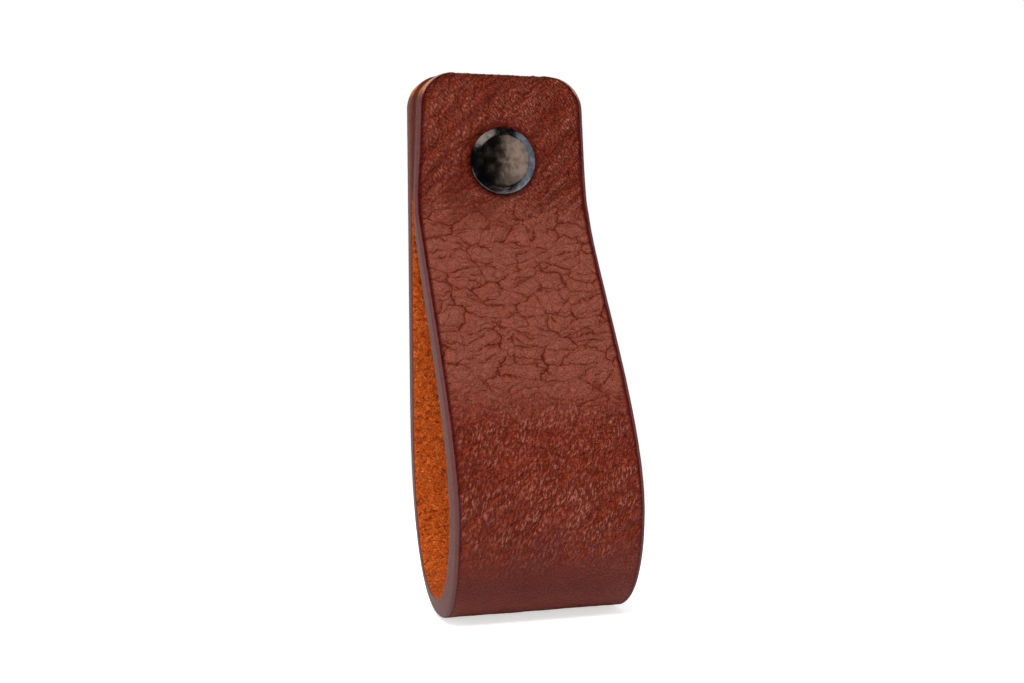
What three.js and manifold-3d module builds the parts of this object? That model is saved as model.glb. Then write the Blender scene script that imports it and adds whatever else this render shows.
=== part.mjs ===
// Leather strap pull for a cabinet door.
// One strip of leather is folded into a loop, grain side out. A blank-headed sleeve nut goes
// through both of its ends, and a machine screw from behind the door is screwed into it.
// Millimetres. The origin is on the screw's axis, where the strap's back lies on the door.
// X runs across the strap, +Y goes into the door and +Z is up.

import * as THREE from 'three';
import { mergeVertices } from 'three/addons/utils/BufferGeometryUtils.js';
import Module from 'manifold-3d';

// Strip of leather, as it is cut
const strapWidth = 25;
const strapThickness = 2.5;
const cornerRadius = 4.5;
const grainEdgeRound = 0.4;
const fleshEdgeBreak = 0.15;
const frontEndTaper = 0.8;      // taken off each side at the front leaf's end
const frontTaperLength = 20;

// Loop that the strip is folded into
const endRise = 12;             // from the screw's axis up to the cut ends
const leafGap = 0.3;            // between the two leaves where they are clamped
const loopDepth = 27.1;         // from the door to the foremost point of the grain
const loopDrop = 60.55;         // from the screw's axis to the underside of the bottom turn
const bellyDrop = 46.3;         // from the screw's axis to the foremost point
const turnSetOff = 16;          // from the door to the lowest point of the strap's middle
const backFlatDrop = 36.6;      // the back leaf lies on the door down to here
const edgeSplay = 2.4;          // square mm: half-width lost outside a bend, times its radius
const splaySpan = 6;            // length of strap over which a bend is felt at the edges

// Fullness of the loop: each handle as a share of its curve's height or depth
const seatHandle = 0.155;
const bellyHandleAbove = 0.284;
const bellyHandleBelow = 0.177;
const turnHandleFront = 0.914;
const turnHandleBack = 1.0;
const doorHandle = 0.022;

// Sleeve nut
const headDiameter = 9.4;
const headRim = 0.45;           // height of the upright rim
const headBevelRise = 0.5;
const headBevelWidth = 1.05;
const headCrown = 0.3;          // rise of the domed middle above the bevel
const rimRound = 0.12;
const barrelDiameter = 5;
const barrelReach = 2.7;        // how far the barrel goes into the door
const barrelChamfer = 0.25;
const boreRunout = 1.5;         // bore left free past the screw's tip
const punchClearance = 0.3;     // around the barrel in the punched holes
const seatMargin = 0.2;         // flat leather left below the head

// Machine screw, M4, drawn at its thread's pitch diameter
const doorThickness = 18;
const threadDiameter = 3.55;
const threadClearance = 0.3;
const threadEngagement = 4.7;
const tipChamfer = 0.4;
const screwHeadDiameter = 8;
const screwHeadHeight = 2.7;
const screwHeadSide = 1.1;      // upright part of the pan head's side
const screwHeadFlat = 3.6;      // diameter of the pan head's flat top
const recessSpan = 4.4;
const recessArm = 1.1;
const recessDepth = 1.6;
const recessFloorShare = 0.45;  // the cross recess tapers to this share of its mouth
const cutMargin = 0.5;          // how far each cutter stands out of what it cuts

// Fineness
const bendStep = 1.5;
const cornerSteps = 6;
const roundSteps = 3;
const domeSteps = 6;
const shoulderSteps = 5;
const turnedSides = 48;
const holeSides = 48;
const curveSamples = 400;

// Places that follow from the sizes
const backMiddle = -strapThickness / 2;
const frontMiddle = backMiddle - strapThickness - leafGap;
const grainSeat = frontMiddle - strapThickness / 2;
const seatDrop = headDiameter / 2 + seatMargin;
const bellyMiddle = -(loopDepth - strapThickness / 2);
const turnMiddle = -(loopDrop - strapThickness / 2);
const barrelTip = barrelReach;
const screwTip = barrelTip - threadEngagement;
const boreFloor = screwTip - boreRunout;
const punchDiameter = barrelDiameter + 2 * punchClearance;

const wasm = await Module();
wasm.setup();

// A closed three.js mesh as a solid for joining and cutting
function toSolid(geometry) {
  const bare = geometry.clone();
  bare.deleteAttribute('normal');
  bare.deleteAttribute('uv');
  const merged = mergeVertices(bare, 1e-5);
  const mesh = new wasm.Mesh({
    numProp: 3,
    vertProperties: new Float32Array(merged.attributes.position.array),
    triVerts: new Uint32Array(merged.index.array),
  });
  return new wasm.Manifold(mesh);
}

function toGeometry(solid) {
  const mesh = solid.getMesh();
  const geometry = new THREE.BufferGeometry();
  geometry.setAttribute('position', new THREE.BufferAttribute(mesh.vertProperties, 3));
  geometry.setIndex(new THREE.BufferAttribute(mesh.triVerts, 1));
  geometry.computeVertexNormals();
  return geometry;
}

function subtract(geometry, cutter) {
  return toGeometry(toSolid(geometry).subtract(toSolid(cutter)));
}

// Middle line of the folded strip, seen from the side: front end, belly, turn, back end
function foldedLine() {
  const at = (y, z) => new THREE.Vector3(0, y, z);
  const seat = at(frontMiddle, -seatDrop);
  const belly = at(bellyMiddle, -bellyDrop);
  const turn = at(-turnSetOff, turnMiddle);
  const lift = at(backMiddle, -backFlatDrop);
  const frontFall = bellyDrop - seatDrop;
  const bellyFall = -turnMiddle - bellyDrop;
  const bellyReach = -bellyMiddle - turnSetOff;
  const backReach = turnSetOff + backMiddle;
  const backRise = -turnMiddle - backFlatDrop;

  const line = new THREE.CurvePath();
  line.add(new THREE.LineCurve3(at(frontMiddle, endRise), seat));
  line.add(new THREE.CubicBezierCurve3(
    seat,
    at(frontMiddle, -seatDrop - seatHandle * frontFall),
    at(bellyMiddle, -bellyDrop + bellyHandleAbove * frontFall),
    belly,
  ));
  line.add(new THREE.CubicBezierCurve3(
    belly,
    at(bellyMiddle, -bellyDrop - bellyHandleBelow * bellyFall),
    at(-turnSetOff - turnHandleFront * bellyReach, turnMiddle),
    turn,
  ));
  line.add(new THREE.CubicBezierCurve3(
    turn,
    at(-turnSetOff + turnHandleBack * backReach, turnMiddle),
    at(backMiddle, -backFlatDrop - doorHandle * backRise),
    lift,
  ));
  line.add(new THREE.LineCurve3(lift, at(backMiddle, endRise)));
  for (const curve of line.curves) {
    curve.arcLengthDivisions = curveSamples;
  }
  return line;
}

// Distances along the strip at which its section is drawn
function stationDistances(line) {
  const lengths = line.getCurveLengths();
  const total = line.getLength();
  const bendStart = lengths[0];
  const bendEnd = lengths[3];
  const distances = [];
  for (let i = 0; i <= cornerSteps; i += 1) {
    const inset = cornerRadius * (1 - Math.cos((i / cornerSteps) * Math.PI / 2));
    distances.push(inset, total - inset);
  }
  const bendCount = Math.round((bendEnd - bendStart) / bendStep);
  for (let i = 0; i <= bendCount; i += 1) {
    distances.push(bendStart + (i / bendCount) * (bendEnd - bendStart));
  }
  distances.push(bendStart / 2 + cornerRadius / 2);
  distances.sort((a, b) => a - b);
  return distances.filter((d, i) => i === 0 || d - distances[i - 1] > 1e-3);
}

// Half of the strip's cut width at a distance from its front end
function halfWidthAt(distance, total) {
  const taper = frontEndTaper * Math.max(0, 1 - distance / frontTaperLength);
  const toEnd = Math.min(distance, total - distance);
  const intoCorner = Math.max(0, cornerRadius - toEnd);
  const cornerLoss = cornerRadius - Math.sqrt(cornerRadius ** 2 - intoCorner ** 2);
  return strapWidth / 2 - taper - cornerLoss;
}

// Section of the strip as (across, outward) pairs, rounded on the grain side.
// Outside a bend the leather draws in, and inside it spreads.
function sectionPoints(halfWidth, bend) {
  const half = strapThickness / 2;
  const widthAt = (out) => halfWidth - edgeSplay * bend * (out / half);
  const right = [];
  right.push([widthAt(-half) - fleshEdgeBreak, -half]);
  right.push([widthAt(-half + fleshEdgeBreak), -half + fleshEdgeBreak]);
  for (let i = 0; i <= roundSteps; i += 1) {
    const angle = (i / roundSteps) * Math.PI / 2;
    const out = half - grainEdgeRound * (1 - Math.sin(angle));
    right.push([widthAt(out) - grainEdgeRound * (1 - Math.cos(angle)), out]);
  }
  const left = right.map(([across, out]) => [-across, out]).reverse();
  return [...right, ...left];
}

function leatherStrap() {
  const line = foldedLine();
  const total = line.getLength();
  const heading = (distance) => {
    const share = THREE.MathUtils.clamp(distance / total, 0, 1);
    const tangent = line.getTangent(share);
    return Math.atan2(tangent.y, -tangent.z);
  };
  const positions = [];
  const distances = stationDistances(line);
  for (const distance of distances) {
    const middle = line.getPoint(distance / total);
    const angle = heading(distance);
    const ahead = heading(distance + splaySpan / 2);
    const behind = heading(distance - splaySpan / 2);
    const turned = Math.atan2(Math.sin(ahead - behind), Math.cos(ahead - behind));
    const outward = new THREE.Vector3(0, -Math.cos(angle), -Math.sin(angle));
    for (const [across, out] of sectionPoints(halfWidthAt(distance, total), turned / splaySpan)) {
      positions.push(across, middle.y + outward.y * out, middle.z + outward.z * out);
    }
  }
  const ring = positions.length / 3 / distances.length;
  const faces = [];
  for (let i = 0; i < distances.length - 1; i += 1) {
    for (let j = 0; j < ring; j += 1) {
      const a = i * ring + j;
      const b = i * ring + (j + 1) % ring;
      faces.push(a, b, a + ring, b, b + ring, a + ring);
    }
  }
  const last = (distances.length - 1) * ring;
  for (let j = 1; j < ring - 1; j += 1) {
    faces.push(0, j + 1, j);
    faces.push(last, last + j, last + j + 1);
  }
  const folded = new THREE.BufferGeometry();
  folded.setAttribute('position', new THREE.Float32BufferAttribute(positions, 3));
  folded.setIndex(faces);

  const punchRadius = punchDiameter / 2;
  const punchLength = -grainSeat + 2 * cutMargin;
  const punch = new THREE.CylinderGeometry(punchRadius, punchRadius, punchLength, holeSides);
  punch.translate(0, grainSeat / 2, 0);
  return subtract(folded, punch);
}

// Profile points of an elliptical arc between two angles, about a centre
function arcPoints(centre, radiusAcross, radiusAlong, from, to, steps) {
  const points = [];
  for (let i = 0; i <= steps; i += 1) {
    const angle = THREE.MathUtils.lerp(from, to, i / steps);
    const across = centre.x + radiusAcross * Math.cos(angle);
    const along = centre.y + radiusAlong * Math.sin(angle);
    points.push(new THREE.Vector2(across, along));
  }
  return points;
}

// Profile points of a shallow spherical dome, from the axis out to its edge
function domePoints(edgeRadius, edgeY, crown, steps) {
  const sphereRadius = (edgeRadius ** 2 + crown ** 2) / (2 * crown);
  const points = [];
  for (let i = 0; i <= steps; i += 1) {
    const across = edgeRadius * (i / steps);
    const rise = Math.sqrt(sphereRadius ** 2 - across ** 2) - (sphereRadius - crown);
    points.push(new THREE.Vector2(across, edgeY - rise));
  }
  return points;
}

// Blank domed head with a bevelled rim, and a barrel with a blind bore
function sleeveNut() {
  const headRadius = headDiameter / 2;
  const rimTop = grainSeat - headRim;
  const bevelTop = rimTop - headBevelRise;
  const rimCentre = new THREE.Vector2(headRadius - rimRound, rimTop + rimRound);
  const profile = [
    ...domePoints(headRadius - headBevelWidth, bevelTop, headCrown, domeSteps),
    ...arcPoints(rimCentre, rimRound, rimRound, -Math.PI / 3, 0, roundSteps),
    new THREE.Vector2(headRadius, grainSeat - rimRound),
    new THREE.Vector2(headRadius - rimRound, grainSeat),
    new THREE.Vector2(barrelDiameter / 2, grainSeat),
    new THREE.Vector2(barrelDiameter / 2, barrelTip - barrelChamfer),
    new THREE.Vector2(barrelDiameter / 2 - barrelChamfer, barrelTip),
    new THREE.Vector2(threadDiameter / 2 + threadClearance, barrelTip),
    new THREE.Vector2(threadDiameter / 2 + threadClearance, boreFloor),
    new THREE.Vector2(0, boreFloor),
  ];
  return new THREE.LatheGeometry(profile, turnedSides);
}

// Cross recess of the screw's head: a plus sign that tapers to its floor
function crossRecess(mouthY) {
  const arm = recessArm / 2;
  const reach = recessSpan / 2;
  const corners = [
    [arm, arm], [arm, reach], [-arm, reach], [-arm, arm], [-reach, arm], [-reach, -arm],
    [-arm, -arm], [-arm, -reach], [arm, -reach], [arm, -arm], [reach, -arm], [reach, arm],
  ];
  const plus = new THREE.Shape(corners.map(([x, y]) => new THREE.Vector2(x, y)));
  const depth = recessDepth + cutMargin;
  const geometry = new THREE.ExtrudeGeometry(plus, { depth, bevelEnabled: false });
  const position = geometry.attributes.position;
  for (let i = 0; i < position.count; i += 1) {
    const share = THREE.MathUtils.mapLinear(position.getZ(i), 0, recessDepth, recessFloorShare, 1);
    position.setX(i, position.getX(i) * share);
    position.setY(i, position.getY(i) * share);
  }
  geometry.rotateX(-Math.PI / 2);
  geometry.translate(0, mouthY - recessDepth, 0);
  return geometry;
}

// Pan-headed screw, its head behind the door and its tip in the sleeve nut
function machineScrew() {
  const seat = doorThickness;
  const headTop = seat + screwHeadHeight;
  const headRadius = screwHeadDiameter / 2;
  const shoulderCentre = new THREE.Vector2(screwHeadFlat / 2, seat + screwHeadSide);
  const shoulderWidth = headRadius - screwHeadFlat / 2;
  const shoulderHeight = screwHeadHeight - screwHeadSide;
  const profile = [
    new THREE.Vector2(0, screwTip),
    new THREE.Vector2(threadDiameter / 2 - tipChamfer, screwTip),
    new THREE.Vector2(threadDiameter / 2, screwTip + tipChamfer),
    new THREE.Vector2(threadDiameter / 2, seat),
    new THREE.Vector2(headRadius, seat),
    ...arcPoints(shoulderCentre, shoulderWidth, shoulderHeight, 0, Math.PI / 2, shoulderSteps),
    new THREE.Vector2(0, headTop),
  ];
  const turned = new THREE.LatheGeometry(profile, turnedSides);
  return subtract(turned, crossRecess(headTop));
}

function piece(name, geometry, colour, roughness, metalness) {
  const material = new THREE.MeshStandardMaterial({ color: colour, roughness, metalness });
  const mesh = new THREE.Mesh(geometry, material);
  mesh.name = name;
  return mesh;
}

const group = new THREE.Group();
group.add(piece('leather_strap', leatherStrap(), 0x6b3026, 0.5, 0));
group.add(piece('sleeve_nut', sleeveNut(), 0x2b2a2e, 0.3, 1));
group.add(piece('machine_screw', machineScrew(), 0xb4b6ba, 0.35, 1));

export default group;
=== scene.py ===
"""Leather strap pull: the looks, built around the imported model. Metres, unless a name ends in _mm."""

import math

import bpy
import numpy as np
from mathutils import Matrix, Vector


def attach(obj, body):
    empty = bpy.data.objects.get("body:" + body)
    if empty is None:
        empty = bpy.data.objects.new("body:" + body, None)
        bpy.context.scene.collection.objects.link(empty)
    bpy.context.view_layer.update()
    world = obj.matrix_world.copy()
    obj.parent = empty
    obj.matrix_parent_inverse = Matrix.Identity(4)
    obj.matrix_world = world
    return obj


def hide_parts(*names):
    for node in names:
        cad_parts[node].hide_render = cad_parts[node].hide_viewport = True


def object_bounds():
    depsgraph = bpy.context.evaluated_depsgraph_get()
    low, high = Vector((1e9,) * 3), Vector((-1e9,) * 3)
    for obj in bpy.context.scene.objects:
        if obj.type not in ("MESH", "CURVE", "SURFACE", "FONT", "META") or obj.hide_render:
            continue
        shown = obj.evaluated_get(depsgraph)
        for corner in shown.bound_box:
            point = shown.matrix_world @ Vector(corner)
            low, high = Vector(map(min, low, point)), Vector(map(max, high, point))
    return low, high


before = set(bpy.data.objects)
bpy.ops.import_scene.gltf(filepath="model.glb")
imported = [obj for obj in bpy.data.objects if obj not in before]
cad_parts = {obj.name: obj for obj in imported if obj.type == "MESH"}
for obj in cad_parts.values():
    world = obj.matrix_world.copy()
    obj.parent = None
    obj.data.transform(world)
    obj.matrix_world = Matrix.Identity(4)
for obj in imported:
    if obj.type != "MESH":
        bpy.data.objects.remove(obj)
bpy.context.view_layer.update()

MM = 0.001

# Strip of leather and its loop, as the solids have them
THICK_mm = 2.5
WIDTH_mm = 25
CORNER_mm = 4.5
EDGE_ROUND_mm = 0.4
FLESH_BREAK_mm = 0.15
TAPER_mm = 0.8
TAPER_LENGTH_mm = 20
RISE_mm = 12
LEAF_GAP_mm = 0.3
DEPTH_mm = 27.1
DROP_mm = 60.55
BELLY_DROP_mm = 46.3
TURN_SET_OFF_mm = 16
BACK_FLAT_mm = 36.6
SEAT_DROP_mm = 4.9
SPLAY_mm2 = 2.4
HOLE_RADIUS_mm = 2.8
HEAD_RADIUS_mm = 4.7
HANDLES = {"seat": 0.155, "above": 0.284, "below": 0.177, "front": 0.914, "back": 1, "door": 0.022}
SEAT_Y_mm = -(2 * THICK_mm + LEAF_GAP_mm)

# Fineness of the strap's mesh
ROW_STEP_mm = 0.325
FACE_COLUMNS = 76
SIDE_COLUMNS = 9
SIDE_ROUND_STEPS = 4
FLESH_START = FACE_COLUMNS + SIDE_COLUMNS
CORNER_ROWS = 20
HOLE_WALL_STEPS = 4
PROFILE_SAMPLES = 6000
LINE_STEP_mm = 0.02

# Softening of the folded line, which keeps its ends as they are
BEND_SOFTENING_mm = 0.9
SPLAY_SOFTENING_mm = 2.6
UNSOFTENED_END_mm = 6
SOFTENING_RUN_IN_mm = 4

# Block of cells taken out at a punched hole, and how far round it the mesh is rounded
HOLE_BLOCK_mm = 2.35
HOLE_BLOCK_SHARE = 0.97
HOLE_REACH_mm = 5.6
HOLE_SPREAD = 0.85

GRAIN, EDGE, FLESH = range(3)
FLESH_UV_SHIFT = 0.4

# Kinds of grain and stretches of painted sheen and shade, by distance along the strip from its front end:
# where each begins, is full, fades and ends
TOP_FADES_mm = (16, 26)
BACK_TOP_BEGINS_mm = (130, 142)
MIDDLE_mm = (13, 21, 45, 55)
BACK_MIDDLE_mm = (104, 120, 130, 142)
UPPER_BELLY_mm = (42, 50, 56, 64)
BELLY_mm = (46, 54, 66, 73)
# the lower belly and the top of the turn, which painted shade darkens
SHADED_LOW_mm = (64, 71, 74, 84)
TURN_mm = (65, 74, 106, 120)
# the lowest turn, which painted sheen lightens as the floor's reflection
LOWEST_mm = (73, 80, 92, 104)
FRONT_SIDE_FADES_mm = (40, 50)
DOOR_BEGINS_mm = (118, 126)
FRONT_CLAMP_FADES_mm = (17, 26)
BACK_CLAMP_BEGINS_mm = (132, 144)
OVERRUN_BEGINS_mm = (142, 146)

# Creases: how far noise bends their networks, and how wide they are as shares of a cell
SLOW_BEND_mm = 4
QUICK_BEND_mm = 1.6
CELL_RANDOMNESS = 0.95
WRINKLE_SPREAD = 2.4
LINE_SPAN = (0.006, 0.03)
VALLEY_SPAN = (0, 0.19)

# Heights of the relief in the strap's mesh
VALLEY_RELIEF_mm = 0.2
SWELL_RELIEF_mm = 0.2
PEBBLE_RELIEF_mm = 0.06
PILLOW_mm = 0.17
NAP_RELIEF_mm = 0.17
CLAMPED_NAP_mm = 0.03
SIDE_RELIEF_mm = 0.06
FRAY_mm = 0.34
DOOR_RELIEF_SHARE = 0.12

# Distances from the screw's axis at which the leather rises out of the head's print, and levels off
PRESSED_mm = (HEAD_RADIUS_mm - 0.25, HEAD_RADIUS_mm + 1.3)
PILLOW_FADES_mm = (HEAD_RADIUS_mm + 2.2, HEAD_RADIUS_mm + 6.5)


# Node trees

class Nodes:
    """Adds nodes to a shader or geometry tree and joins them."""

    def __init__(self, tree):
        self.tree = tree

    def add(self, kind, inputs=None, **settings):
        node = self.tree.nodes.new(kind)
        for name, value in settings.items():
            setattr(node, name, value)
        self.fill(node, inputs or {})
        return node

    def fill(self, node, inputs):
        for name, value in inputs.items():
            self.join(node.inputs[name], value)

    def join(self, socket, value):
        if isinstance(value, bpy.types.NodeSocket):
            self.tree.links.new(value, socket)
        else:
            socket.default_value = value

    def attribute(self, name, output="Fac"):
        return self.add("ShaderNodeAttribute", attribute_name=name).outputs[output]

    def math(self, operation, a, b=0):
        return self.add("ShaderNodeMath", {0: a, 1: b}, operation=operation).outputs[0]

    def times(self, *values):
        result = values[0]
        for value in values[1:]:
            result = self.math("MULTIPLY", result, value)
        return result

    def plus(self, *values):
        result = values[0]
        for value in values[1:]:
            result = self.math("ADD", result, value)
        return result

    def minus(self, a, b):
        return self.math("SUBTRACT", a, b)

    def most(self, a, b):
        return self.math("MAXIMUM", a, b)

    def distance(self, x, y):
        return self.math("SQRT", self.plus(self.times(x, x), self.times(y, y)))

    def ramp(self, value, start, end, low=0, high=1):
        """Goes smoothly from low to high while value goes from start to end."""
        inputs = {"Value": value, "From Min": start, "From Max": end, "To Min": low, "To Max": high}
        return self.add("ShaderNodeMapRange", inputs, interpolation_type="SMOOTHSTEP").outputs["Result"]

    def fade(self, value, start, end):
        return self.ramp(value, start, end, 1, 0)

    def window(self, value, start, full, fade, end):
        return self.times(self.ramp(value, start, full), self.fade(value, fade, end))

    def split(self, vector):
        return self.add("ShaderNodeSeparateXYZ", {0: vector}).outputs

    def combine(self, x, y, z=0):
        return self.add("ShaderNodeCombineXYZ", {0: x, 1: y, 2: z}).outputs[0]

    def shift(self, vector, offset):
        return self.add("ShaderNodeVectorMath", {0: vector, 1: offset}, operation="ADD").outputs[0]

    def scale(self, vector, factor):
        inputs = {0: vector, "Scale": factor}
        return self.add("ShaderNodeVectorMath", inputs, operation="SCALE").outputs[0]

    def noise_node(self, vector, scale, detail, roughness):
        inputs = {"Vector": vector, "Scale": scale, "Detail": detail, "Roughness": roughness}
        return self.add("ShaderNodeTexNoise", inputs, noise_dimensions="3D")

    def noise(self, vector, scale, detail, roughness):
        return self.noise_node(vector, scale, detail, roughness).outputs[0]

    def ripple(self, vector, scale, detail, roughness, middle=0.5):
        """Noise that goes to both sides of zero."""
        return self.minus(self.noise(vector, scale, detail, roughness), middle)

    def wander(self, vector, guide, scale, detail, roughness, reach):
        """Moves a place about by noise, by up to half the reach each way."""
        colour = self.noise_node(guide, scale, detail, roughness).outputs["Color"]
        return self.shift(vector, self.scale(self.shift(colour, (-0.5, -0.5, -0.5)), reach))

    def cell_edges(self, vector, randomness=1):
        inputs = {"Vector": vector, "Scale": 1, "Randomness": randomness}
        settings = {"feature": "DISTANCE_TO_EDGE", "voronoi_dimensions": "2D"}
        return self.add("ShaderNodeTexVoronoi", inputs, **settings).outputs["Distance"]

    def mix(self, factor, a, b):
        return self.add("ShaderNodeMix", {0: factor, 6: a, 7: b}, data_type="RGBA").outputs[2]


def turned(nodes, flat, degrees):
    """Coordinates along and across a direction on the strip; up and to the right is negative."""
    x, y, _ = nodes.split(flat)
    angle = math.radians(degrees)
    lengthwise = nodes.plus(nodes.times(x, math.cos(angle)), nodes.times(y, math.sin(angle)))
    crosswise = nodes.plus(nodes.times(x, -math.sin(angle)), nodes.times(y, math.cos(angle)))
    return lengthwise, crosswise


def slanted_noise(nodes, flat, degrees, along, across, seed, roughness=0.55):
    """Noise drawn out along a direction on the strip; along and across are cells for each mm."""
    lengthwise, crosswise = turned(nodes, flat, degrees)
    place = nodes.combine(nodes.times(lengthwise, along), nodes.times(crosswise, across), seed)
    return nodes.noise(place, 1, 2, roughness)


def cell_network(nodes, flat, degrees, length_mm, height_mm, seed):
    """How far a spot is inside its cell of the grain: 0 on the crease round it."""
    lengthwise, crosswise = turned(nodes, flat, degrees)
    cell = nodes.combine(
        nodes.plus(nodes.times(lengthwise, 1 / length_mm), seed),
        nodes.plus(nodes.times(crosswise, 1 / height_mm), seed),
    )
    return nodes.cell_edges(cell, CELL_RANDOMNESS)


def wrinkle_lines(nodes, flat, degrees, along, across, seed):
    """Long wavy wrinkles, measured as cell_network does."""
    value = slanted_noise(nodes, flat, degrees, along, across, seed, 0.5)
    return nodes.times(nodes.math("ABSOLUTE", nodes.minus(value, 0.5)), WRINKLE_SPREAD)


def grain_zones(nodes, along):
    """Shares of the top's, the middle's and the belly's grain along the strip."""
    return (
        nodes.plus(nodes.fade(along, *TOP_FADES_mm), nodes.ramp(along, *BACK_TOP_BEGINS_mm)),
        nodes.plus(nodes.window(along, *MIDDLE_mm), nodes.window(along, *BACK_MIDDLE_mm)),
        nodes.window(along, *BELLY_mm),
    )


def crease_fields(nodes, block):
    """Creases over the unbent strip, the same for the mesh and for its material.

    block is (across, along, depth) in mm. Each network gives how far into a cell a spot is, how deep its
    creases are and how sharply they are drawn.
    """
    x, along, _ = nodes.split(block)
    flat = nodes.combine(x, along)
    bent = nodes.wander(flat, flat, 0.15, 1, 0.4, SLOW_BEND_mm)
    bent = nodes.wander(bent, flat, 0.75, 3, 0.6, QUICK_BEND_mm)
    top, middle, belly = grain_zones(nodes, along)
    upper_belly = nodes.window(along, *UPPER_BELLY_mm)
    patchy = nodes.ramp(nodes.noise(flat, 0.3, 2, 0.6), 0.38, 0.58, 0.28, 1)
    uneven = nodes.ramp(nodes.noise(flat, 0.55, 2, 0.6), 0.38, 0.6, 0.15, 1)
    diamonds = cell_network(nodes, bent, degrees=-47, length_mm=3.4, height_mm=1.8, seed=3)
    diagonals = wrinkle_lines(nodes, flat, degrees=-48, along=0.18, across=0.46, seed=4)
    cells = cell_network(nodes, bent, degrees=-13, length_mm=4.4, height_mm=2.4, seed=0)
    long_cells = cell_network(nodes, bent, degrees=-8, length_mm=9, height_mm=2.6, seed=31)
    steep_wrinkles = wrinkle_lines(nodes, bent, degrees=-52, along=0.18, across=0.4, seed=17)
    small_cells = cell_network(nodes, bent, degrees=-20, length_mm=1.6, height_mm=1.1, seed=5)
    belly_wrinkles = wrinkle_lines(nodes, flat, degrees=-36, along=0.16, across=0.5, seed=23)
    level_wrinkles = wrinkle_lines(nodes, bent, degrees=-8, along=0.12, across=0.45, seed=29)
    return (
        (diamonds, nodes.times(top, patchy, 0.95), 0.75),
        (diagonals, nodes.times(top, uneven), 0.5),
        (cells, nodes.times(middle, patchy), 1),
        (long_cells, nodes.times(middle, uneven, 0.75), 1),
        (steep_wrinkles, nodes.times(middle, uneven, 0.3), 0.6),
        (small_cells, nodes.times(middle, 0.38), 0.6),
        (belly_wrinkles, nodes.times(belly, uneven), 0.3),
        (level_wrinkles, nodes.times(upper_belly, uneven, 0.8), 0.7),
    )


def drawn_lines(nodes, networks):
    """The fine lines at the bottom of the creases, which the material darkens as painted shade."""
    result = 0
    for inside, depth, sharpness in networks:
        result = nodes.most(result, nodes.times(nodes.fade(inside, *LINE_SPAN), depth, sharpness))
    return result


def valleys(nodes, networks):
    """The soft hollows beside the lines."""
    result = 0
    for inside, depth, _ in networks:
        result = nodes.most(result, nodes.times(nodes.fade(inside, *VALLEY_SPAN), depth))
    return result


def from_fastener(nodes, x, along):
    """Distance from the screw's axis on the front leaf."""
    return nodes.distance(x, nodes.minus(along, RISE_mm))


# Meshes and objects

def new_mesh(name, points, faces):
    mesh = bpy.data.meshes.new(name)
    mesh.from_pydata(points, [], faces)
    return mesh


def add_object(name, data):
    thing = bpy.data.objects.new(name, data)
    bpy.context.scene.collection.objects.link(thing)
    return thing


def apply_modifiers(piece):
    depsgraph = bpy.context.evaluated_depsgraph_get()
    evaluated = piece.evaluated_get(depsgraph)
    mesh = bpy.data.meshes.new_from_object(evaluated, preserve_all_data_layers=True, depsgraph=depsgraph)
    piece.modifiers.clear()
    piece.data = mesh


def smooth_to(piece, degrees):
    """Smooth shading, with sharp edges where faces meet at more than an angle."""
    piece.data.polygons.foreach_set("use_smooth", [True] * len(piece.data.polygons))
    piece.data.set_sharp_from_angle(angle=math.radians(degrees))


# Strap

def bezier(*points):
    t = np.linspace(0, 1, PROFILE_SAMPLES)[:, None]
    a, b, c, d = np.array(points, float)
    return (1 - t) ** 3 * a + 3 * (1 - t) ** 2 * t * b + 3 * (1 - t) * t ** 2 * c + t ** 3 * d


def soften(values, width):
    reach = int(4 * width / LINE_STEP_mm)
    weights = np.exp(-0.5 * (np.arange(-reach, reach + 1) * LINE_STEP_mm / width) ** 2)
    padded = np.pad(values, reach, mode="edge")
    return np.convolve(padded, weights / weights.sum(), mode="valid")


def folded_line():
    """Middle line of the folded strip as distance, y, z, heading and bend, all in mm and radians."""
    back = -THICK_mm / 2
    front = back - THICK_mm - LEAF_GAP_mm
    belly = -(DEPTH_mm - THICK_mm / 2)
    turn = -(DROP_mm - THICK_mm / 2)
    fall = BELLY_DROP_mm - SEAT_DROP_mm
    below = -turn - BELLY_DROP_mm
    reach = -belly - TURN_SET_OFF_mm
    behind = TURN_SET_OFF_mm + back
    rise = -turn - BACK_FLAT_mm
    seat_end = (front, -SEAT_DROP_mm)
    foremost = (belly, -BELLY_DROP_mm)
    lowest = (-TURN_SET_OFF_mm, turn)
    lift = (back, -BACK_FLAT_mm)
    stretches = [
        np.linspace((front, RISE_mm), seat_end, PROFILE_SAMPLES),
        bezier(seat_end, (front, -SEAT_DROP_mm - HANDLES["seat"] * fall),
               (belly, -BELLY_DROP_mm + HANDLES["above"] * fall), foremost),
        bezier(foremost, (belly, -BELLY_DROP_mm - HANDLES["below"] * below),
               (-TURN_SET_OFF_mm - HANDLES["front"] * reach, turn), lowest),
        bezier(lowest, (-TURN_SET_OFF_mm + HANDLES["back"] * behind, turn),
               (back, -BACK_FLAT_mm - HANDLES["door"] * rise), lift),
        np.linspace(lift, (back, RISE_mm), PROFILE_SAMPLES),
    ]
    path = np.concatenate([stretches[0]] + [stretch[1:] for stretch in stretches[1:]])
    distance = np.concatenate([[0], np.cumsum(np.linalg.norm(np.diff(path, axis=0), axis=1))])
    even = np.arange(0, distance[-1], LINE_STEP_mm)
    y = np.interp(even, distance, path[:, 0])
    z = np.interp(even, distance, path[:, 1])
    heading = np.unwrap(np.arctan2(np.gradient(y, LINE_STEP_mm), -np.gradient(z, LINE_STEP_mm)))
    from_end = np.minimum(even, even[-1] - even)
    share = np.clip((from_end - UNSOFTENED_END_mm) / SOFTENING_RUN_IN_mm, 0, 1)
    y, z, heading = (line + share * (soften(line, BEND_SOFTENING_mm) - line) for line in (y, z, heading))
    bend = soften(np.gradient(heading, LINE_STEP_mm), SPLAY_SOFTENING_mm)
    return even, y, z, heading, bend


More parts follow.
